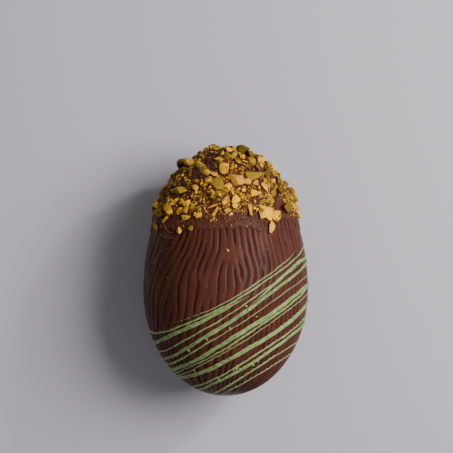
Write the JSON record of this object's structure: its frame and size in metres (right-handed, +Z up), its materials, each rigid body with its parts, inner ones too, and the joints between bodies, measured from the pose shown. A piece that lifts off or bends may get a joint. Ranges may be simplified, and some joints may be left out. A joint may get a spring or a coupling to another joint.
{
  "type": "chocolate egg",
  "caption": "Moulded chocolate Easter egg with bark relief, its narrow end coated in chopped pistachios and its wide end crossed by slanting lines of green chocolate.",
  "frame": {"origin": "on the surface that the egg rests on, under the middle of its bounding box", "axes": "+Y along the egg to its coated narrow end, +Z up through the side that shows the drizzle, +X to the right seen from above"},
  "size_m": [0.1124, 0.1734, 0.1113],
  "materials": {
    "milk_chocolate": "moulded milk chocolate with a satin shine, wide smooth ridges between narrow dark grooves",
    "rough_chocolate": "rough spread chocolate that holds the nuts, lumpy and dull",
    "pistachio": "chopped pistachio kernel, golden to olive green, with flat cut faces and scraps of purple-brown skin",
    "green_chocolate": "pale green chocolate, drizzled in thin lines and set with a soft shine"
  },
  "bodies": {
    "root": {"chocolate_shell": "milk_chocolate", "pistachio_cap": "pistachio"}
  },
  "joints": []
}
